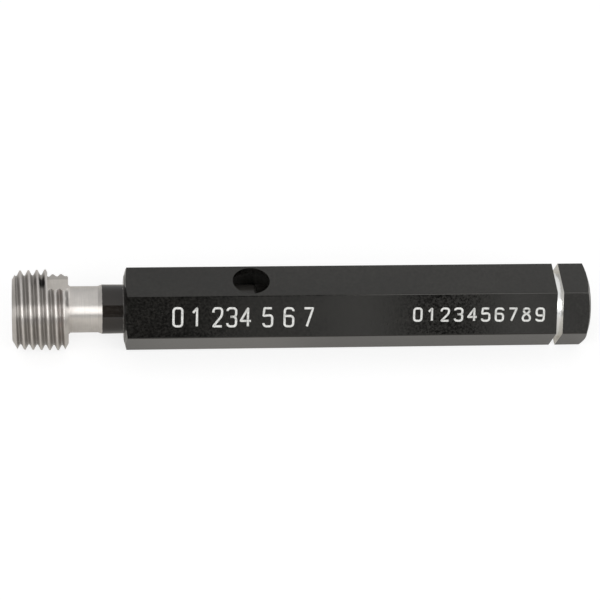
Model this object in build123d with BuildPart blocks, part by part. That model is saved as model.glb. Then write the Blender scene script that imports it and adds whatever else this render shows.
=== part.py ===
"""Taper thread plug gauge: a ground steel thread plug whose taper shank sits in a hexagonal aluminium handle.

The gauge's axis is +X from the plug's tip to the rear of the handle, the origin lies on it in the gauge plane,
and the handle lies on one of its flats, with +Z up. Millimetres.
"""

import os
from math import atan, ceil, cos, degrees, pi, radians, sin, tan

from build123d import *

os.makedirs("parts", exist_ok=True)

# Gauging thread: right-hand, square to the axis, with its lengths measured from the gauge plane
threads_per_inch = 19
flank_angle = 55
gauge_diameter = 13.157  # over the crests, in the gauge plane
thread_taper = 1 / 16  # growth of the diameter along the axis
crest_offset = -0.53  # where a crest crosses the top line
root_strips = 4  # flats that round each root
tip_length = 7.35  # gauge plane to the tip
tip_chamfer_depth = 1.4  # crests to the rim of the tip's face
rear_chamfer_depth = 1.13
chamfer_angle = 60  # from the axis

# Gauging step: a flat on the large end of the plug, centred on the gauge plane
step_length = 3.34
step_depth = 1.98  # crests to the flat, in the gauge plane
step_elevation = 117  # the way the flat faces: 0 is the front, 90 the top

# Neck and shank
neck_relief = 0.25  # shank's surface down to the neck's
neck_length = 4.73
neck_cone = 0.3  # the small cone where the neck meets the plug
shoulder_length = 0.65  # the cone between neck and shank
shank_length = 25.0
shank_taper = 1 / 50  # loss of diameter along the axis
shank_chamfer = 0.4
shank_exposed = 3.5  # what stands out of the handle

# Handle
corner_clearance = 0.35  # the hexagon's sharp corners outside the gauge diameter
corner_radius = 0.3
socket_wall = 2.0  # flats to the shank's large end
handle_length = 76.0
front_face_inset = 0.95  # flats to the rim of the face
front_cone_length = 0.5
rear_face_inset = 1.1
rear_cone_length = 0.75
socket_run_on = 3.0  # full-width socket past the shank's small end
drill_point_angle = 118
drift_diameter = 6.0
drift_from_front = 20.5
groove_width = 1.0
groove_depth = 0.6  # below the flats
groove_from_rear = 4.8

# Diameters and radii that follow from these
across_flats = (gauge_diameter + 2 * corner_clearance) * cos(radians(30))
shank_diameter = across_flats - 2 * socket_wall  # at its large end
neck_diameter = shank_diameter - 2 * neck_relief
front_face_radius = across_flats / 2 - front_face_inset
rear_face_radius = across_flats / 2 - rear_face_inset
step_distance = gauge_diameter / 2 - step_depth

# Places along the axis
tip_face = -tip_length
large_face = step_length / 2
neck_end = large_face + neck_length
shank_start = neck_end + shoulder_length
shank_end = shank_start + shank_length
handle_front = shank_start + shank_exposed
handle_rear = handle_front + handle_length

# Thread form: a V with a sixth of its height cut off at the crest and rounded off at the root
thread_pitch = 25.4 / threads_per_inch
half_angle = radians(flank_angle / 2)
sharp_height = thread_pitch / 2 / tan(half_angle)
truncation = sharp_height / 6
thread_depth = sharp_height - 2 * truncation
crest_width = thread_pitch / 6
root_radius = truncation / (1 / sin(half_angle) - 1)

# Corners of the form over one pitch, from the front edge of one crest to that of the next:
# distance along the axis and depth below the crests
root_middle = (crest_width + thread_pitch) / 2
root_angles = [half_angle + (pi - 2 * half_angle) * strip / root_strips for strip in range(root_strips + 1)]
root_corners = [
    (root_middle - root_radius * cos(angle), thread_depth - root_radius * (1 - sin(angle)))
    for angle in root_angles
]
thread_form = [(0, 0), (crest_width, 0), *root_corners, (thread_pitch, 0)]


def crest_radius(x):
    """Radius over the crests at a place along the axis."""
    return (gauge_diameter + thread_taper * x) / 2


def shank_radius(x):
    """Radius of the shank, and of the socket that it fills, at a place along the axis."""
    return (shank_diameter - shank_taper * (x - shank_start)) / 2


def helix_turn(start, depth):
    """One turn of the taper thread, at a depth below the crests, from a place on the top line."""
    cone_angle = atan(thread_taper / 2)
    return Edge.make_helix(
        pitch=thread_pitch / cos(cone_angle),
        height=thread_pitch,
        radius=crest_radius(start) - depth,
        center=(start, 0, 0),
        normal=(1, 0, 0),
        angle=degrees(cone_angle),
    )


def threaded_bar(start, turns):
    """A bar with the taper thread all over it: strips between helices, closed by a ramp and a wall at each end."""
    turn_starts = [start + turn * thread_pitch for turn in range(turns)]
    end = start + turns * thread_pitch
    helices = [helix_turn(place + along, depth) for place in turn_starts for along, depth in thread_form[:-1]]
    helices.append(helix_turn(end, 0))
    faces = [Face.make_surface_from_curves(first, second) for first, second in zip(helices, helices[1:])]
    for place, helix in ((start, helices[0]), (end, helices[-1])):
        ramp_foot = Edge.make_line((place, 0, 0), (place + thread_pitch, 0, 0))
        faces.append(Face.make_surface_from_curves(helix, ramp_foot))
        rim = [(place + along, 0, crest_radius(place + along) - depth) for along, depth in thread_form]
        faces.append(Face(Wire.make_polygon([(place, 0, 0), *rim, (place + thread_pitch, 0, 0)])))
    return Solid(Shell(faces))


with BuildPart() as thread_plug:
    # Chamfered disc, a little larger than the thread, which the threaded bar then trims
    with BuildSketch():
        with BuildLine():
            stock_radius = crest_radius(large_face) + truncation
            tip_face_radius = crest_radius(tip_face) - tip_chamfer_depth
            tip_cone_length = (stock_radius - tip_face_radius) / tan(radians(chamfer_angle))
            rear_rim_radius = crest_radius(large_face) - rear_chamfer_depth
            rear_cone_start = large_face - (stock_radius - rear_rim_radius) / tan(radians(chamfer_angle))
            Polyline(
                (tip_face, 0),
                (tip_face, tip_face_radius),
                (tip_face + tip_cone_length, stock_radius),
                (rear_cone_start, stock_radius),
                (large_face, rear_rim_radius),
                (large_face, 0),
                close=True,
            )
        make_face()
    revolve(axis=Axis.X)
    turns_to_tip = ceil((tip_length + crest_offset) / thread_pitch) + 1
    turns_to_rear = ceil((large_face - crest_offset) / thread_pitch) + 1
    bar_start = crest_offset - crest_width / 2 - turns_to_tip * thread_pitch
    add(threaded_bar(bar_start, turns_to_tip + turns_to_rear), mode=Mode.INTERSECT)

    # Gauging step
    step_normal = (0, -cos(radians(step_elevation)), sin(radians(step_elevation)))
    step_centre = [step_distance * part for part in step_normal]
    with BuildSketch(Plane(origin=step_centre, x_dir=(1, 0, 0), z_dir=step_normal)):
        Rectangle(step_length, 2 * stock_radius)
    extrude(amount=stock_radius, mode=Mode.SUBTRACT)

    # Neck, shoulder and shank
    with BuildSketch():
        with BuildLine():
            neck_radius = neck_diameter / 2
            taper_end = shank_end - shank_chamfer
            Polyline(
                (large_face, 0),
                (large_face, neck_radius + neck_cone),
                (large_face + neck_cone, neck_radius),
                (neck_end, neck_radius),
                (shank_start, shank_diameter / 2),
                (taper_end, shank_radius(taper_end)),
                (shank_end, shank_radius(taper_end) - shank_chamfer),
                (shank_end, 0),
                close=True,
            )
        make_face()
    revolve(axis=Axis.X)

with BuildPart() as handle:
    # Hexagonal bar, lying on a flat
    with BuildSketch(Plane.YZ.offset(handle_front)) as bar:
        RegularPolygon(across_flats / 2, 6, major_radius=False)
        fillet(bar.vertices(), radius=corner_radius)
    extrude(amount=handle_length)

    # Turned ends
    with BuildSketch():
        with BuildLine():
            corner = across_flats / 2 / cos(radians(30))
            Polyline(
                (handle_front, 0),
                (handle_front, front_face_radius),
                (handle_front + front_cone_length, corner),
                (handle_rear - rear_cone_length, corner),
                (handle_rear, rear_face_radius),
                (handle_rear, 0),
                close=True,
            )
        make_face()
    revolve(axis=Axis.X, mode=Mode.INTERSECT)

    # Ring groove near the rear end
    with BuildSketch():
        with Locations((handle_rear - groove_from_rear - groove_width, across_flats / 2 - groove_depth)):
            Rectangle(groove_width, across_flats, align=(Align.MIN, Align.MIN))
    revolve(axis=Axis.X, mode=Mode.SUBTRACT)

    # Socket with the shank's taper, drilled on past the drift hole
    with BuildSketch():
        with BuildLine():
            socket_end = shank_end + socket_run_on
            point_length = shank_radius(socket_end) / tan(radians(drill_point_angle / 2))
            Polyline(
                (handle_front, 0),
                (handle_front, shank_radius(handle_front)),
                (socket_end, shank_radius(socket_end)),
                (socket_end + point_length, 0),
                close=True,
            )
        make_face()
    revolve(axis=Axis.X, mode=Mode.SUBTRACT)

    # Drift hole through the top and bottom flats
    with Locations((handle_front + drift_from_front, 0)):
        Hole(drift_diameter / 2)

thread_plug.part.label = "thread_plug"
handle.part.label = "handle"

export_step(thread_plug.part, "parts/thread_plug.step")
export_step(handle.part, "parts/handle.step")
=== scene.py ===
from math import atan2, cos, pi, radians, sin, tan

import bpy
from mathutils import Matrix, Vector


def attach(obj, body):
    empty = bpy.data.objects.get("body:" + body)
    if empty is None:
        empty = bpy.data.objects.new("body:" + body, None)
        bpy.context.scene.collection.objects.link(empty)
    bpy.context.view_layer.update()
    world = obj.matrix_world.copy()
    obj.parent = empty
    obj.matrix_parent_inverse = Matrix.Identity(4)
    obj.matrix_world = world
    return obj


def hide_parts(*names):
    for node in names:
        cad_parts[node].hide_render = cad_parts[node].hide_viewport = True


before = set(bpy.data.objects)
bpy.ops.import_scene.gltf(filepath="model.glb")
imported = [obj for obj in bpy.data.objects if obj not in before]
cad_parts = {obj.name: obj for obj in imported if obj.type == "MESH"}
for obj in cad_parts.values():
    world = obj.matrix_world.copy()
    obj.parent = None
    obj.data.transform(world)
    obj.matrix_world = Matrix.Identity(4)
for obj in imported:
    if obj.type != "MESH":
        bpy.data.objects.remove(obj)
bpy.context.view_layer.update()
mm = 0.001  # a millimetre in metres


# Camera, before the gauge and above it, a little to the left of its middle
cameraPlan = {
    "place": (-0.00079, -0.28934, 0.27973),
    "turn": (46.2985, -3.5105, -4.5255),  # degrees
    "lens": 148.644, "sensor": 36.0,
    "clipFrom": 0.01, "clipTo": 50.0,
}


def addCamera(plan):
    turn = [radians(angle) for angle in plan["turn"]]
    bpy.ops.object.camera_add(location=plan["place"], rotation=turn)
    camera = bpy.context.object
    camera.data.lens = plan["lens"]
    camera.data.sensor_width = plan["sensor"]
    camera.data.clip_start = plan["clipFrom"]
    camera.data.clip_end = plan["clipTo"]
    bpy.context.scene.camera = camera


addCamera(cameraPlan)
bpy.context.scene.view_settings.view_transform = "Standard"
print("camera placed")


# Small helpers for the materials below
mostNoise = (0.3, 0.7)  # most of a noise's values lie in here
middleNoise = (0.35, 0.65)
spotCore = 0.4  # a spot is at its full strength up to this share of its radius


def newMaterial(name):
    material = bpy.data.materials.new(name)
    material.use_nodes = True
    tree = material.node_tree
    return material, tree, tree.nodes["Principled BSDF"]


# Gives a socket a link, a colour or a number
def feed(tree, socket, value):
    if isinstance(value, bpy.types.NodeSocket):
        tree.links.new(value, socket)
    elif socket.type == "RGBA":
        socket.default_value = (*value, 1.0)
    else:
        socket.default_value = value


def mathNode(tree, operation, *values):
    node = tree.nodes.new("ShaderNodeMath")
    node.operation = operation
    for socket, value in zip(node.inputs, values):
        feed(tree, socket, value)
    return node.outputs[0]


def vectorNode(tree, operation, *values):
    node = tree.nodes.new("ShaderNodeVectorMath")
    node.operation = operation
    for socket, value in zip(node.inputs, values):
        feed(tree, socket, value)
    isNumber = operation in ("DISTANCE", "DOT_PRODUCT", "LENGTH")
    return node.outputs["Value" if isNumber else "Vector"]


# Goes from one value to the other as the source goes from low to high, and keeps to them beyond
def rampNode(tree, source, low, high, lowOut=0.0, highOut=1.0, smooth=False):
    node = tree.nodes.new("ShaderNodeMapRange")
    node.interpolation_type = "SMOOTHSTEP" if smooth else "LINEAR"
    node.inputs["From Min"].default_value = low
    node.inputs["From Max"].default_value = high
    node.inputs["To Min"].default_value = lowOut
    node.inputs["To Max"].default_value = highOut
    tree.links.new(source, node.inputs["Value"])
    return node.outputs["Result"]


def noiseNode(tree, place, noise):
    mapping = tree.nodes.new("ShaderNodeMapping")
    mapping.inputs["Scale"].default_value = noise["stretch"]
    tree.links.new(place, mapping.inputs["Vector"])
    node = tree.nodes.new("ShaderNodeTexNoise")
    node.inputs["Scale"].default_value = noise["scale"]
    node.inputs["Detail"].default_value = noise["detail"]
    node.inputs["Roughness"].default_value = noise["roughness"]
    tree.links.new(mapping.outputs["Vector"], node.inputs["Vector"])
    return node.outputs["Fac"]


def mixColour(tree, factor, first, second):
    node = tree.nodes.new("ShaderNodeMix")
    node.data_type = "RGBA"
    tree.links.new(factor, node.inputs["Factor"])
    feed(tree, node.inputs[6], first)
    feed(tree, node.inputs[7], second)
    return node.outputs[2]


def mixValue(tree, factor, first, second):
    node = tree.nodes.new("ShaderNodeMix")
    node.data_type = "FLOAT"
    tree.links.new(factor, node.inputs["Factor"])
    feed(tree, node.inputs[2], first)
    feed(tree, node.inputs[3], second)
    return node.outputs[0]


def addBump(tree, shader, height, strength, distance):
    bump = tree.nodes.new("ShaderNodeBump")
    bump.inputs["Strength"].default_value = strength
    bump.inputs["Distance"].default_value = distance
    tree.links.new(height, bump.inputs["Height"])
    tree.links.new(bump.outputs["Normal"], shader.inputs["Normal"])


def objectPlace(tree):
    return tree.nodes.new("ShaderNodeTexCoord").outputs["Object"]


def splitPlace(tree, place):
    split = tree.nodes.new("ShaderNodeSeparateXYZ")
    tree.links.new(place, split.inputs[0])
    return split.outputs


def distanceFromAxis(tree, place):
    return vectorNode(tree, "LENGTH", vectorNode(tree, "MULTIPLY", place, (0.0, 1.0, 1.0)))


# 1 between two values and 0 outside them
def between(tree, source, low, high, blur):
    rise = rampNode(tree, source, low - blur, low + blur, smooth=True)
    fall = rampNode(tree, source, high - blur, high + blur, 1.0, 0.0, smooth=True)
    return mathNode(tree, "MULTIPLY", rise, fall)


# 1 at a spot and 0 from its radius on, both in millimetres
def nearSpot(tree, place, spot, radius):
    distance = vectorNode(tree, "DISTANCE", place, [part * mm for part in spot])
    return rampNode(tree, distance, radius * spotCore * mm, radius * mm, 1.0, 0.0, smooth=True)


# Lights: a long softbox on each side of the camera, parallel to the gauge. Between them hang a dark card,
# a wider dark one below it and a graded one at the bottom, which only reflections see. All of them face
# the gauge's axis.
studioPlan = {
    "softboxes": ({"x": -0.52, "length": 0.90}, {"x": 0.57, "length": 0.90}),
    "softboxElevation": 38.5, "softboxDistance": 0.60, "softboxHeight": 0.43, "softboxRadiance": 1.80,
    "cards": (
        {
            "name": "darkCard", "x": 0.02, "elevation": 44.0, "distance": 0.58,
            "width": 0.19, "height": 0.346, "strength": 1.0,
            "steps": ((0.0, 0.03), (1.0, 0.03)),  # how light it is, from its left edge to its right one
        },
        {
            "name": "wideDarkCard", "x": 0.075, "elevation": 22.8, "distance": 0.595,
            "width": 0.28, "height": 0.12, "strength": 1.0,
            "steps": ((0.0, 0.03), (1.0, 0.03)),
        },
        {
            "name": "gradedCard", "x": 0.075, "elevation": 12.5, "distance": 0.585,
            "width": 0.40, "height": 0.15, "strength": 1.25,
            "steps": (
                (0.0, 0.12), (0.470, 0.07), (0.484, 0.46), (0.52, 0.44), (0.575, 0.50), (0.606, 0.92),
                (0.622, 0.96), (0.644, 0.70), (0.664, 0.16), (0.686, 0.08), (0.694, 0.0), (0.728, 0.0),
                (0.740, 0.55), (0.758, 1.0), (0.776, 1.0), (0.80, 0.66), (1.0, 0.46),
            ),
        },
    ),
    "roomForEye": 1.0, "roomForGloss": 0.74, "roomForRest": 0.56,
    "roomLean": (0.7, -0.10, 0.10),  # how much lighter reflections find it to the right, the back and the top
    "roomLeast": 0.3,  # and the darkest that they find it
}


# Sets a thing in front of the gauge, facing its axis squarely
def setBefore(thing, x, elevation, distance):
    rise = radians(elevation)
    thing.location = (x, -cos(rise) * distance, sin(rise) * distance)
    thing.rotation_euler = (radians(90) - rise, 0, 0)


def addSoftbox(plan, softbox):
    bpy.ops.object.light_add(type="AREA")
    lamp = bpy.context.object
    lamp.name = "softbox"
    lamp.data.shape = "RECTANGLE"
    lamp.data.size = softbox["length"]
    lamp.data.size_y = plan["softboxHeight"]
    lamp.data.energy = plan["softboxRadiance"] * pi * softbox["length"] * plan["softboxHeight"]
    lamp.visible_camera = False
    setBefore(lamp, softbox["x"], plan["softboxElevation"], plan["softboxDistance"])


def makeCardGlow(card):
    material, tree, shader = newMaterial(card["name"])
    tree.nodes.remove(shader)
    ramp = tree.nodes.new("ShaderNodeValToRGB")
    elements = ramp.color_ramp.elements
    for number, (step, level) in enumerate(card["steps"]):
        element = elements[number] if number < 2 else elements.new(step)  # two are there from the start
        element.position = step
        element.color = (level, level, level, 1.0)
    across = splitPlace(tree, objectPlace(tree))["X"]  # -0.5 at its left edge, 0.5 at its right one
    tree.links.new(mathNode(tree, "ADD", across, 0.5), ramp.inputs[0])
    glow = tree.nodes.new("ShaderNodeEmission")
    glow.inputs["Strength"].default_value = card["strength"]
    tree.links.new(ramp.outputs["Color"], glow.inputs["Color"])
    tree.links.new(glow.outputs[0], tree.nodes["Material Output"].inputs["Surface"])
    return material


def addCard(card):
    bpy.ops.mesh.primitive_grid_add(x_subdivisions=2, y_subdivisions=2, size=1.0)
    sheet = bpy.context.object
    sheet.name = card["name"]
    sheet.scale = (card["width"], card["height"], 1.0)
    setBefore(sheet, card["x"], card["elevation"], card["distance"])
    sheet.data.materials.append(makeCardGlow(card))
    sheet.visible_camera = sheet.visible_diffuse = sheet.visible_shadow = False


def setRoom(plan):
    world = bpy.data.worlds.new("pale room")
    bpy.context.scene.world = world
    world.use_nodes = True
    tree = world.node_tree
    background = tree.nodes["Background"]
    background.inputs["Color"].default_value = (1.0, 1.0, 1.0, 1.0)
    path = tree.nodes.new("ShaderNodeLightPath").outputs
    direction = tree.nodes.new("ShaderNodeTexCoord").outputs["Generated"]
    lean = vectorNode(tree, "DOT_PRODUCT", direction, plan["roomLean"])
    gloss = mathNode(tree, "ADD", lean, plan["roomForGloss"])
    gloss = mathNode(tree, "MAXIMUM", gloss, plan["roomLeast"])
    unseen = mixValue(tree, path["Is Glossy Ray"], plan["roomForRest"], gloss)
    strength = mixValue(tree, path["Is Camera Ray"], unseen, plan["roomForEye"])
    tree.links.new(strength, background.inputs["Strength"])


for softbox in studioPlan["softboxes"]:
    addSoftbox(studioPlan, softbox)
for card in studioPlan["cards"]:
    addCard(card)
setRoom(studioPlan)
print("lights placed")


# The gauge lies on a pale floor: its thread's lowest crest and the rear of the handle touch it
floorPlan = {
    "size": 6.0,
    "frontTouch": (1.3, -6.59),  # X and Z in millimetres, on the thread
    "rearTouch": (85.6, -6.0),  # on the handle's lower flat
    "colour": (0.72, 0.72, 0.715), "roughness": 0.9, "gloss": 0.1,
    "litShare": 0.34, "glowForEye": 0.76,
    "glossColour": (1.0, 0.96, 0.895),
    # Reflections find it darkest under the gauge, up to some millimetres in front of the axis,
    "glowUnder": 0.34, "underTo": 4.0, "glowBefore": 0.46, "beforeFrom": 20.0,
    # and paler along the handle's front end, over some millimetres behind the front touch
    "paleFrom": 12.0, "paleTo": 38.0, "paleBlur": 7.0, "paleShare": 1.33,
}


# How strongly the floor glows in the gauge's reflections
def mirroredGlow(tree, plan):
    place = splitPlace(tree, objectPlace(tree))
    before = mathNode(tree, "MULTIPLY", place["Y"], -1.0)
    mirrored = rampNode(
        tree, before, plan["underTo"] * mm, plan["beforeFrom"] * mm, plan["glowUnder"], plan["glowBefore"],
    )
    pale = between(tree, place["X"], plan["paleFrom"] * mm, plan["paleTo"] * mm, plan["paleBlur"] * mm)
    return mathNode(tree, "MULTIPLY", mirrored, rampNode(tree, pale, 0.0, 1.0, 1.0, plan["paleShare"]))


# The camera and reflections see a glow with a little light on it, and all else sees plain paper
def makePaper(plan):
    material, tree, shader = newMaterial("floorPaper")
    feed(tree, shader.inputs["Base Color"], plan["colour"])
    shader.inputs["Roughness"].default_value = plan["roughness"]
    shader.inputs["Specular IOR Level"].default_value = plan["gloss"]
    path = tree.nodes.new("ShaderNodeLightPath").outputs
    glossy = path["Is Glossy Ray"]
    lit = tree.nodes.new("ShaderNodeBsdfDiffuse")
    feed(tree, lit.inputs["Color"], (plan["litShare"],) * 3)
    glow = tree.nodes.new("ShaderNodeEmission")
    strength = mixValue(tree, glossy, plan["glowForEye"], mirroredGlow(tree, plan))
    feed(tree, glow.inputs["Strength"], strength)
    feed(tree, glow.inputs["Color"], mixColour(tree, glossy, (1.0, 1.0, 1.0), plan["glossColour"]))
    both = tree.nodes.new("ShaderNodeAddShader")
    tree.links.new(lit.outputs[0], both.inputs[0])
    tree.links.new(glow.outputs[0], both.inputs[1])
    choice = tree.nodes.new("ShaderNodeMixShader")
    tree.links.new(mathNode(tree, "MAXIMUM", path["Is Camera Ray"], glossy), choice.inputs[0])
    tree.links.new(shader.outputs[0], choice.inputs[1])
    tree.links.new(both.outputs[0], choice.inputs[2])
    tree.links.new(choice.outputs[0], tree.nodes["Material Output"].inputs["Surface"])
    return material


def addFloor(plan):
    (frontX, frontZ), (rearX, rearZ) = plan["frontTouch"], plan["rearTouch"]
    tilt = atan2(rearZ - frontZ, rearX - frontX)
    bpy.ops.mesh.primitive_grid_add(
        x_subdivisions=4, y_subdivisions=4, size=plan["size"],
        location=(frontX * mm, 0, frontZ * mm), rotation=(0, -tilt, 0),
    )
    floor = bpy.context.object
    floor.name = "floor"
    floor.data.materials.append(makePaper(plan))


addFloor(floorPlan)
print("floor laid")


# Gauge steel: ground bright, with a black finish on the shank's exposed part and its small end,
# and darkening in the bottoms of the thread's grooves that is partly residue and partly painted shade. Places
# and sizes are millimetres.
steelPlan = {
    "colour": (0.725, 0.694, 0.662), "darkColour": (0.615, 0.588, 0.56), "toneRange": (0.12, 0.4),
    "roughness": 0.38, "roughnessSpread": 0.06, "anisotropy": 0.95, "anisotropyTurn": 0.25,
    "bumpStrength": 0.25, "ringDepth": 0.004,
    "rings": {"stretch": (1.0, 0.03, 0.03), "scale": 9000.0, "detail": 2.0, "roughness": 0.6},
    "clouds": {"stretch": (1.0, 1.0, 1.0), "scale": 500.0, "detail": 4.0, "roughness": 0.55},
    "wander": {"stretch": (1.0, 1.0, 1.0), "scale": 2500.0, "detail": 3.0, "roughness": 0.5},
    "dirt": {"stretch": (0.6, 1.0, 1.0), "scale": 1800.0, "detail": 4.0, "roughness": 0.6},
    # Black finish, along the axis: a ring, painted shade past it in the gap at the handle's mouth, and the
    # shank's small end, painted paler for light in the drift hole
    "blackColour": (0.0150, 0.0120, 0.0098), "blackRoughness": (0.07, 0.12),
    "blackFrom": 7.06, "blackTo": 10.42, "blackBlur": 0.02, "blackWander": 0.04, "gapShadeShare": 0.93,
    "smallEnd": 27.5, "smallEndPaintedLightColour": (0.032, 0.030, 0.027), "smallEndRoughness": 0.4,
    # Outline of the plug, from which the grooves' depth is worked out: radii over the crests and at the
    # chamfers' rims
    "crestAtGaugePlane": 6.5785, "crestSlope": 0.03125,
    "tipFace": -7.35, "tipRim": 4.949, "largeFace": 1.67, "largeRim": 5.50, "chamferSlope": tan(radians(60)),
    "stepDistance": 4.5985, "stepElevation": 117.0, "stepWall": -1.67,
    # Residue and painted shade in the grooves, darker with depth. Depth below the step's flat counts for
    # more, so that it reaches it.
    "residueAndShadeColour": (0.120, 0.110, 0.102), "residueAndShadeShare": 0.47, "residueAndShadeWander": 0.08,
    "residueAndShadeFrom": 0.10, "residueAndShadeTo": 0.38, "underStep": 4.0,
    "rustColour": (0.19, 0.105, 0.088), "rustFrom": -1.2, "rustTo": -0.2, "rustPatches": (0.45, 0.65),
    # Places and radii of the darkest dirt, and of painted shade behind the large end
    "smudgeAndShadeColour": (0.045, 0.042, 0.040), "smudgeDepth": (0.15, 0.35),
    "smudges": (((-2.45, 0.4, 6.1), 1.7), ((1.5, -4.4, 4.0), 1.2)),
    "shadeBehindSpots": (((1.5, -2.2, 5.35), 1.1), ((1.5, -3.3, 4.7), 1.0)),
    "shadeBehindFrom": 1.15, "shadeBehindTo": 2.1, "shadeBehindBlur": 0.12, "shadeBehindShare": 0.62,
    "specks": (((3.05, -2.55, 2.25), 0.16), ((3.45, -2.45, 2.4), 0.12)),
    "speckColour": (0.09, 0.085, 0.08), "speckPatches": (0.35, 0.55),
    # Painted shade: a darker strip along the far side of the step's flat
    "farShadeFrom": 1.6, "farShadeTo": 1.7, "farShadeColour": (0.05, 0.049, 0.047), "farShadeShare": 0.30,
    "stepBlur": 0.01,
}


# Distance along a direction that is square to the axis and turned up from the front
def distanceUp(tree, place, elevation):
    turn = radians(elevation)
    return vectorNode(tree, "DOT_PRODUCT", place, (0.0, -cos(turn), sin(turn)))


# How far a place lies below the turned and stepped outline of the thread, in millimetres
def grooveDepth(tree, place, along, plan):
    inMm = mathNode(tree, "MULTIPLY", along, 1 / mm)
    radius = mathNode(tree, "MULTIPLY", distanceFromAxis(tree, place), 1 / mm)

    def belowCone(slope, atOrigin):
        edge = mathNode(tree, "ADD", mathNode(tree, "MULTIPLY", inMm, slope), atOrigin)
        return mathNode(tree, "SUBTRACT", edge, radius)

    slope = plan["chamferSlope"]
    belowOutline = (
        belowCone(plan["crestSlope"], plan["crestAtGaugePlane"]),
        belowCone(slope, plan["tipRim"] - slope * plan["tipFace"]),
        belowCone(-slope, plan["largeRim"] + slope * plan["largeFace"]),
        mathNode(tree, "SUBTRACT", plan["largeFace"], inMm),
        mathNode(tree, "SUBTRACT", inMm, plan["tipFace"]),
    )
    out = mathNode(tree, "MULTIPLY", distanceUp(tree, place, plan["stepElevation"]), 1 / mm)
    belowStep = mathNode(tree, "SUBTRACT", plan["stepDistance"], out)
    belowStep = mathNode(tree, "MULTIPLY", belowStep, plan["underStep"])
    beforeStep = mathNode(tree, "SUBTRACT", plan["stepWall"], inMm)
    depth = mathNode(tree, "MAXIMUM", belowStep, beforeStep)
    for other in belowOutline:
        depth = mathNode(tree, "MINIMUM", depth, other)
    return depth


# Painted shade: the strip of the step's flat that lies furthest from the front
def farShadeStrip(tree, place, along, plan):
    across = distanceUp(tree, place, plan["stepElevation"] + 90)
    far = rampNode(
        tree, across, plan["farShadeFrom"] * mm, plan["farShadeTo"] * mm, 0.0, plan["farShadeShare"],
    )
    onStep = between(tree, along, plan["stepWall"] * mm, plan["largeFace"] * mm, plan["stepBlur"] * mm)
    return mathNode(tree, "MULTIPLY", far, onStep)


# Where the shank's black finish lies, with the painted shade in the gap behind it, and where its small end
# does
def blackParts(tree, along, wander, plan):
    blur, wide = plan["blackBlur"] * mm, plan["blackWander"] * mm
    start, end, smallEnd = plan["blackFrom"] * mm, plan["blackTo"] * mm, plan["smallEnd"] * mm
    wandered = mathNode(tree, "ADD", along, rampNode(tree, wander, *mostNoise, -wide, wide))
    ring = between(tree, wandered, start, end, blur)
    # Painted shade: past the black ring the shank stays nearly black, which darkens the strip in the gap at
    # the handle's mouth
    gapShade = rampNode(tree, along, end, end + blur, 0.0, plan["gapShadeShare"])
    onEnd = rampNode(tree, along, smallEnd - blur, smallEnd + blur)
    black = mathNode(tree, "MAXIMUM", mathNode(tree, "MAXIMUM", ring, gapShade), onEnd)
    return black, onEnd


# Residue with painted shade in the grooves, rust, smudges, specks, and painted shade on the step's far strip
# and behind the large end, over the bright steel
def soilAndShade(tree, bright, place, along, wander, dirt, plan):
    wide = plan["residueAndShadeWander"]
    depth = grooveDepth(tree, place, along, plan)
    depth = mathNode(tree, "ADD", depth, rampNode(tree, dirt, *mostNoise, -wide, wide))
    # Darker with depth in the grooves: partly residue, partly painted shade
    residueAndShade = rampNode(
        tree, depth, plan["residueAndShadeFrom"], plan["residueAndShadeTo"], 0.0, plan["residueAndShadeShare"], smooth=True,
    )
    rust = rampNode(tree, along, plan["rustFrom"] * mm, plan["rustTo"] * mm)
    rust = mathNode(tree, "MULTIPLY", rust, rampNode(tree, dirt, *plan["rustPatches"]))
    soiledAndShaded = mixColour(tree, rust, plan["residueAndShadeColour"], plan["rustColour"])
    bright = mixColour(tree, residueAndShade, bright, soiledAndShaded)
    deep = rampNode(tree, depth, *plan["smudgeDepth"])
    for spot, radius in plan["smudges"]:
        near = mathNode(tree, "MULTIPLY", nearSpot(tree, place, spot, radius), deep)
        bright = mixColour(tree, near, bright, plan["smudgeAndShadeColour"])
    # Painted shade along the far side of the step's flat
    bright = mixColour(tree, farShadeStrip(tree, place, along, plan), bright, plan["farShadeColour"])
    patches = rampNode(tree, wander, *plan["speckPatches"])
    for spot, radius in plan["specks"]:
        near = mathNode(tree, "MULTIPLY", nearSpot(tree, place, spot, radius), patches)
        bright = mixColour(tree, near, bright, plan["speckColour"])
    # Painted shade on the chamfer and neck behind the large end
    shadedBehind = between(tree, along, plan["shadeBehindFrom"] * mm, plan["shadeBehindTo"] * mm, plan["shadeBehindBlur"] * mm)
    shadedBehind = mathNode(tree, "MULTIPLY", shadedBehind, plan["shadeBehindShare"])
    for spot, radius in plan["shadeBehindSpots"]:
        near = mathNode(tree, "MULTIPLY", nearSpot(tree, place, spot, radius), shadedBehind)
        bright = mixColour(tree, near, bright, plan["smudgeAndShadeColour"])
    return bright


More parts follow.
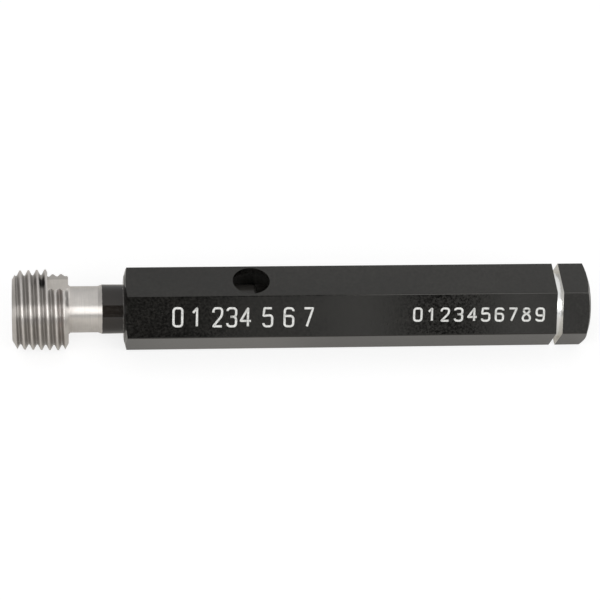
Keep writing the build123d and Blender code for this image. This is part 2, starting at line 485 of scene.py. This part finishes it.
def makeGaugeSteel(plan):
    material, tree, shader = newMaterial("gaugeSteel")
    place = objectPlace(tree)
    along = splitPlace(tree, place)["X"]
    rings, clouds, wander, dirt = (
        noiseNode(tree, place, plan[name]) for name in ("rings", "clouds", "wander", "dirt")
    )
    black, smallEnd = blackParts(tree, along, wander, plan)

    tone = rampNode(tree, mathNode(tree, "MULTIPLY", rings, clouds), *plan["toneRange"])
    bright = mixColour(tree, tone, plan["darkColour"], plan["colour"])
    bright = soilAndShade(tree, bright, place, along, wander, dirt, plan)
    # The small end is painted paler than the black finish, which stands in for light inside the drift hole
    blackColour = mixColour(tree, smallEnd, plan["blackColour"], plan["smallEndPaintedLightColour"])
    feed(tree, shader.inputs["Base Color"], mixColour(tree, black, bright, blackColour))

    middle, half = plan["roughness"], plan["roughnessSpread"] / 2
    rough = rampNode(tree, rings, *mostNoise, middle - half, middle + half)
    blackRough = rampNode(tree, wander, *middleNoise, *plan["blackRoughness"])
    blackRough = mixValue(tree, smallEnd, blackRough, plan["smallEndRoughness"])
    feed(tree, shader.inputs["Roughness"], mixValue(tree, black, rough, blackRough))
    feed(tree, shader.inputs["Metallic"], rampNode(tree, black, 0.0, 1.0, 1.0, 0.0))
    shader.inputs["Anisotropic"].default_value = plan["anisotropy"]
    shader.inputs["Anisotropic Rotation"].default_value = plan["anisotropyTurn"]
    tangent = tree.nodes.new("ShaderNodeTangent")
    tangent.direction_type = "RADIAL"
    tangent.axis = "X"
    tree.links.new(tangent.outputs["Tangent"], shader.inputs["Tangent"])
    addBump(tree, shader, rings, plan["bumpStrength"], plan["ringDepth"] * mm)
    return material


# Handle: satin black anodised, bare where the ring groove was turned after it. Places and sizes are
# millimetres.
anodisedPlan = {
    "colour": (0.0038, 0.0037, 0.0034), "paleColour": (0.0078, 0.0075, 0.0066), "paleClouds": (0.35, 0.7),
    "flecks": (0.3, 2.1), "fleckRange": (0.32, 0.68),  # darkest and palest fleck, as shares of the colour
    "glossTint": (1.0, 0.982, 0.94),
    "roughness": 0.085, "roughnessSpread": 0.03,
    "satin": (-0.035, 0.06),  # what the mottling takes from the roughness and adds to it
    "bareColour": (0.80, 0.80, 0.79), "bareRoughness": 0.24,
    "grooveFrom": 80.75, "grooveTo": 81.75, "grooveBlur": 0.004, "grooveOverlap": 0.005,
    # Socket and drift hole: within a radius, short of the handle's ends
    "insideFrom": 10.6, "insideTo": 86.5, "insideRadius": 5.6, "insideRoughness": 0.5,
    "insideBlur": 0.02, "insideEdge": 0.05,
    "grain": {"stretch": (1.0, 1.0, 1.0), "scale": 6000.0, "detail": 3.0, "roughness": 0.6},
    "drawn": {"stretch": (0.02, 1.0, 1.0), "scale": 4000.0, "detail": 2.0, "roughness": 0.5},
    "clouds": {"stretch": (0.4, 1.0, 1.0), "scale": 120.0, "detail": 4.0, "roughness": 0.55},
    "mottle": {"stretch": (1.0, 1.0, 1.0), "scale": 2600.0, "detail": 2.0, "roughness": 0.55},
    "drawnShare": 0.6, "mottleShare": 1.6, "bumpStrength": 0.2, "grainDepth": 0.010,
}


def insideHandle(tree, place, along, plan):
    radius = plan["insideRadius"] * mm
    edge = radius + plan["insideEdge"] * mm
    inside = rampNode(tree, distanceFromAxis(tree, place), radius, edge, 1.0, 0.0)
    within = between(tree, along, plan["insideFrom"] * mm, plan["insideTo"] * mm, plan["insideBlur"] * mm)
    return mathNode(tree, "MULTIPLY", inside, within)


def makeAnodised(plan):
    material, tree, shader = newMaterial("satinBlackAnodised")
    place = objectPlace(tree)
    along = splitPlace(tree, place)["X"]
    grain, drawn, clouds, mottle = (
        noiseNode(tree, place, plan[name]) for name in ("grain", "drawn", "clouds", "mottle")
    )
    start = plan["grooveFrom"] - plan["grooveOverlap"]
    end = plan["grooveTo"] + plan["grooveOverlap"]
    bare = between(tree, along, start * mm, end * mm, plan["grooveBlur"] * mm)

    black = mixColour(tree, rampNode(tree, clouds, *plan["paleClouds"]), plan["colour"], plan["paleColour"])
    fleck = rampNode(tree, mottle, *plan["fleckRange"], *plan["flecks"])
    black = vectorNode(tree, "MULTIPLY", black, fleck)
    feed(tree, shader.inputs["Base Color"], mixColour(tree, bare, black, plan["bareColour"]))
    feed(tree, shader.inputs["Metallic"], bare)
    feed(tree, shader.inputs["Specular Tint"], plan["glossTint"])

    middle, half = plan["roughness"], plan["roughnessSpread"] / 2
    rough = rampNode(tree, clouds, *mostNoise, middle - half, middle + half)
    rough = mathNode(tree, "ADD", rough, rampNode(tree, mottle, *middleNoise, *plan["satin"]))
    rough = mixValue(tree, insideHandle(tree, place, along, plan), rough, plan["insideRoughness"])
    feed(tree, shader.inputs["Roughness"], mixValue(tree, bare, rough, plan["bareRoughness"]))

    height = mathNode(tree, "ADD", grain, mathNode(tree, "MULTIPLY", drawn, plan["drawnShare"]))
    height = mathNode(tree, "ADD", height, mathNode(tree, "MULTIPLY", mottle, plan["mottleShare"]))
    addBump(tree, shader, height, plan["bumpStrength"], plan["grainDepth"] * mm)
    return material


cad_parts["thread_plug"].data.materials[0] = makeGaugeSteel(steelPlan)
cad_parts["handle"].data.materials[0] = makeAnodised(anodisedPlan)
print("finishes made")


# Numerals: single strokes cut with a round-nosed tool and filled with pale paint. Places and sizes are
# millimetres.
numeralPlan = {
    "flatDistance": 6.0, "flatTurn": 60.0,  # the front flat, from the axis and turned up from the floor
    "cutDepth": 0.15, "barSteps": 4,
    # Roundings are shares of a numeral's width, each with its number of segments
    "cornerRounding": (0.06, 2), "curveRounding": (0.34, 5),
    "domeInsets": ((0.12, 0.45), (0.33, 0.38)),  # in and out, as shares of the tool's radius
    "lines": (
        {
            "text": "01234567", "height": 3.0, "width": 1.4, "strokeWidth": 0.38,
            "places": (19.08, 22.03, 25.47, 27.73, 29.97, 33.55, 36.95, 40.12),
            "startHeight": 0.02, "endHeight": -0.22,
        },
        {
            "text": "0123456789", "height": 2.05, "width": 1.2, "strokeWidth": 0.36,
            "places": (57.88, 60.1, 62.35, 64.55, 66.8, 69.0, 71.25, 73.45, 75.7, 77.97),
            "startHeight": 0.02, "endHeight": -0.20,
        },
    ),
    # A stroke says whether it is closed, and then its corners: across, up, and 1 for a curve
    "strokes": {
        "0": ((True, ((0, 0, 1), (1, 0, 1), (1, 1, 1), (0, 1, 1))),),
        "1": ((False, ((0.12, 0.74, 0), (0.58, 1, 0), (0.58, 0, 0))),),
        "2": ((False, ((0, 0.76, 0), (0, 1, 1), (1, 1, 1), (1, 0.6, 1), (0, 0, 0), (1, 0, 0))),),
        "3": (
            (False, ((0, 0.84, 0), (0, 1, 1), (1, 1, 1), (1, 0.53, 1), (0.35, 0.53, 0))),
            (False, ((0.5, 0.53, 0), (1, 0.53, 1), (1, 0, 1), (0, 0, 1), (0, 0.18, 0))),
        ),
        "4": ((False, ((0.76, 0, 0), (0.76, 1, 0), (-0.08, 0.3, 0), (1.12, 0.3, 0))),),
        "5": ((False, (
            (0.94, 1, 0), (0.08, 1, 0), (0, 0.58, 0), (1, 0.62, 1), (1, 0, 1), (0, 0, 1), (0, 0.18, 0),
        )),),
        "6": ((False, (
            (1, 0.84, 0), (1, 1, 1), (0, 1, 1), (0, 0, 1), (1, 0, 1), (1, 0.57, 1), (0, 0.57, 0),
        )),),
        "7": ((False, ((0, 1, 0), (1, 1, 0), (0.32, 0, 0))),),
        "8": ((True, (
            (0.06, 1, 1), (0.94, 1, 1), (0.94, 0.7, 1), (0, 0.4, 1),
            (0, 0, 1), (1, 0, 1), (1, 0.4, 1), (0.06, 0.7, 1),
        )),),
        "9": ((False, (
            (0, 0.16, 0), (0, 0, 1), (1, 0, 1), (1, 1, 1), (0, 1, 1), (0, 0.43, 1), (1, 0.43, 0),
        )),),
    },
    "mergeWithin": 0.0005, "pickWithin": 0.001,
    "smoothUnder": 35.0,  # degrees
}

paintPlan = {
    "colour": (0.80, 0.80, 0.78), "wornColour": (0.62, 0.62, 0.60), "wornPatches": (0.38, 0.62),
    "patches": {"stretch": (1.0, 1.0, 1.0), "scale": 2600.0, "detail": 3.0, "roughness": 0.55},
    "roughness": 0.6, "bumpStrength": 0.3, "bumpDepth": 0.02,
}


def makePaint(plan):
    material, tree, shader = newMaterial("numeralPaint")
    patches = noiseNode(tree, objectPlace(tree), plan["patches"])
    worn = rampNode(tree, patches, *plan["wornPatches"])
    feed(tree, shader.inputs["Base Color"], mixColour(tree, worn, plan["wornColour"], plan["colour"]))
    shader.inputs["Roughness"].default_value = plan["roughness"]
    addBump(tree, shader, patches, plan["bumpStrength"], plan["bumpDepth"] * mm)
    return material


# Selects one object alone and makes it the active one
def choose(thing):
    bpy.ops.object.select_all(action="DESELECT")
    thing.select_set(True)
    bpy.context.view_layer.objects.active = thing


# Selects the corners that lie at these spots, and leaves edit mode on
def pickCorners(mesh, spots, within):
    bpy.ops.object.mode_set(mode="OBJECT")
    for item in [*mesh.polygons, *mesh.edges]:
        item.select = False
    for vertex in mesh.vertices:
        vertex.select = min((vertex.co - spot).length for spot in spots) < within * mm
    bpy.ops.object.mode_set(mode="EDIT")
    bpy.ops.mesh.select_mode(type="VERT")


# The line that a stroke follows, lying in the X Y plane
def drawStroke(closed, corners, line, plan):
    width, height = line["width"] * mm, line["height"] * mm
    spots = [Vector(((across - 0.5) * width, (up - 0.5) * height, 0.0)) for across, up, curved in corners]
    bpy.ops.object.select_all(action="DESELECT")
    bpy.ops.mesh.primitive_plane_add(size=0.1 * mm)
    stroke = bpy.context.object
    bpy.ops.object.mode_set(mode="EDIT")
    bpy.ops.mesh.select_mode(type="VERT")
    bpy.ops.mesh.select_all(action="SELECT")
    bpy.ops.mesh.merge(type="CENTER")  # the plane becomes a single corner
    bpy.ops.transform.translate(value=spots[0])
    for before, after in zip(spots, spots[1:]):
        bpy.ops.mesh.extrude_region_move(TRANSFORM_OT_translate={"value": after - before})
    if closed:
        pickCorners(stroke.data, (spots[0], spots[-1]), plan["pickWithin"])
        bpy.ops.mesh.edge_face_add()
    turns = list(zip(spots, corners))
    if not closed:
        turns = turns[1:-1]  # its two ends don't turn
    for curve, (share, segments) in enumerate((plan["cornerRounding"], plan["curveRounding"])):
        group = [spot for spot, corner in turns if corner[2] == curve]
        if group:
            pickCorners(stroke.data, group, plan["pickWithin"])
            bpy.ops.mesh.bevel(
                affect="VERTICES", offset=share * width, offset_type="OFFSET", segments=segments,
            )
    bpy.ops.object.mode_set(mode="OBJECT")


# Makes the line just drawn a round bar, with domed ends where it is open
def fattenStroke(closed, bar, plan):
    bpy.ops.object.convert(target="CURVE")
    curve = bpy.context.object.data
    curve.bevel_depth = bar * mm
    curve.bevel_resolution = plan["barSteps"]
    curve.use_fill_caps = True
    bpy.ops.object.convert(target="MESH")
    if not closed:
        bpy.ops.object.mode_set(mode="EDIT")
        bpy.ops.mesh.select_mode(type="FACE")
        bpy.ops.mesh.select_all(action="DESELECT")
        bpy.ops.mesh.select_face_by_sides(number=4, type="GREATER")  # the two end caps
        for inwards, outwards in plan["domeInsets"]:
            bpy.ops.mesh.inset(thickness=inwards * bar * mm, depth=outwards * bar * mm, use_individual=True)
        bpy.ops.mesh.select_all(action="SELECT")
        bpy.ops.mesh.normals_make_consistent(inside=False)
        bpy.ops.object.mode_set(mode="OBJECT")


# All the strokes of a line of numerals as one tool, set on the handle's front flat
def makeTool(line, plan):
    places, depth = line["places"], plan["cutDepth"]
    middle = (places[0] + places[-1]) / 2
    half = line["strokeWidth"] / 2
    bar = (half * half + depth * depth) / (2 * depth)  # the radius that is a stroke wide at the flat
    strokes = []
    for character, place in zip(line["text"], places):
        for closed, corners in plan["strokes"][character]:
            drawStroke(closed, corners, line, plan)
            fattenStroke(closed, bar, plan)
            stroke = bpy.context.object
            stroke.location.x = (place - middle) * mm
            strokes.append(stroke)
    bpy.ops.object.select_all(action="DESELECT")
    for stroke in strokes:
        stroke.select_set(True)
    bpy.context.view_layer.objects.active = strokes[0]
    bpy.ops.object.join()
    tool = bpy.context.object
    bpy.ops.object.transform_apply()
    tool.rotation_euler.z = atan2(line["endHeight"] - line["startHeight"], places[-1] - places[0])
    bpy.ops.object.transform_apply()
    turn = radians(plan["flatTurn"])
    out = plan["flatDistance"] + bar - depth
    up = (line["startHeight"] + line["endHeight"]) / 2
    tool.location = Vector((middle, up * cos(turn) - out * sin(turn), up * sin(turn) + out * cos(turn))) * mm
    tool.rotation_euler = (turn, 0, 0)
    bpy.ops.object.transform_apply()
    return tool


def cutNumerals(handle, line, plan, paint):
    tool = makeTool(line, plan)
    tool.data.materials.clear()
    tool.data.materials.append(paint)
    choose(handle)
    cut = handle.modifiers.new("numerals", "BOOLEAN")
    cut.operation = "DIFFERENCE"
    cut.solver = "EXACT"
    cut.object = tool
    cut.use_self = True
    cut.material_mode = "TRANSFER"
    bpy.ops.object.modifier_apply(modifier=cut.name)
    bpy.data.objects.remove(tool)
    print("cut numerals", line["text"])


# A copy of the handle with the numerals cut in and filled, which then stands for it
def engraveHandle(node, plan, paint):
    handle = bpy.data.objects.new("engravedHandle", node.data.copy())
    bpy.context.scene.collection.objects.link(handle)
    choose(handle)
    bpy.ops.mesh.customdata_custom_splitnormals_clear()
    bpy.ops.object.mode_set(mode="EDIT")
    bpy.ops.mesh.select_all(action="SELECT")
    bpy.ops.mesh.remove_doubles(threshold=plan["mergeWithin"] * mm)
    bpy.ops.object.mode_set(mode="OBJECT")
    for line in plan["lines"]:
        cutNumerals(handle, line, plan, paint)
    bpy.ops.object.shade_smooth_by_angle(angle=radians(plan["smoothUnder"]))
    even = handle.modifiers.new("even shading", "WEIGHTED_NORMAL")
    even.keep_sharp = True
    bpy.ops.object.modifier_apply(modifier=even.name)
    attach(handle, "root")
    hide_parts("handle")


engraveHandle(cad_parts["handle"], numeralPlan, makePaint(paintPlan))
print("numerals filled")
